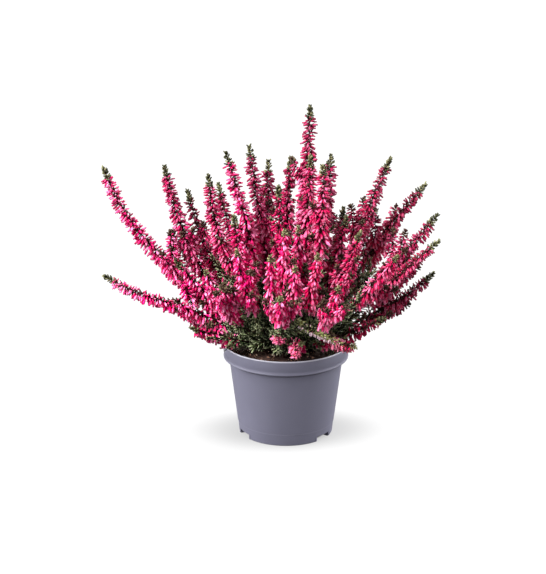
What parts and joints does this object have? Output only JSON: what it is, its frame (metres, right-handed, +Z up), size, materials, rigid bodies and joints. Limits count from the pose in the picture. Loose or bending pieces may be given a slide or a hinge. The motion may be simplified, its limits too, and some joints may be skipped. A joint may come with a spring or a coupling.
{
  "type": "potted heather",
  "caption": "Flowering pink winter heath in a grey moulded nursery pot, with upright and arching flower sprays.",
  "frame": {"origin": "middle of the pot's foot, on the surface it stands on", "axes": "+Z up out of the pot along its axis, the plant's front towards -Y, +X to the right seen from the front"},
  "size_m": [0.3182, 0.2575, 0.3183],
  "materials": {
    "pot_plastic": "satin moulded",
    "peat": "matt crumbly",
    "flowers": "satin",
    "leaves": "satin"
  },
  "bodies": {
    "root": {"pot": "pot_plastic", "soil": "peat", "flower_spray_01": "flowers", "flower_spray_02": "flowers", "flower_spray_03": "flowers", "flower_spray_04": "flowers", "flower_spray_05": "flowers", "flower_spray_06": "flowers", "flower_spray_07": "flowers", "flower_spray_08": "flowers", "flower_spray_09": "flowers", "flower_spray_10": "flowers", "flower_spray_11": "flowers", "flower_spray_12": "flowers", "flower_spray_13": "flowers", "flower_spray_14": "flowers", "flower_spray_15": "flowers", "flower_spray_16": "flowers", "flower_spray_17": "flowers", "flower_spray_18": "flowers", "flower_spray_19": "flowers", "flower_spray_20": "flowers", "flower_spray_21": "flowers", "flower_spray_22": "flowers", "flower_spray_23": "flowers", "flower_spray_24": "flowers", "flower_spray_25": "flowers", "flower_spray_26": "flowers", "flower_spray_27": "flowers", "flower_spray_28": "flowers", "flower_spray_29": "flowers", "flower_spray_30": "flowers", "flower_spray_31": "flowers", "flower_spray_32": "flowers", "flower_spray_33": "flowers", "flower_spray_34": "flowers", "flower_spray_35": "flowers", "flower_spray_36": "flowers", "flower_spray_37": "flowers", "flower_spray_38": "flowers", "flower_spray_39": "flowers", "flower_spray_40": "flowers", "flower_spray_41": "flowers", "flower_spray_42": "flowers", "flower_spray_43": "flowers", "flower_spray_44": "flowers", "flower_spray_45": "flowers", "flower_spray_46": "flowers", "flower_spray_47": "flowers", "flower_spray_48": "flowers", "flower_spray_49": "flowers", "leafy_shoot_01": "leaves", "leafy_shoot_02": "leaves", "leafy_shoot_03": "leaves", "leafy_shoot_04": "leaves", "leafy_shoot_05": "leaves", "leafy_shoot_06": "leaves", "leafy_shoot_07": "leaves", "leafy_shoot_08": "leaves"}
  },
  "joints": []
}
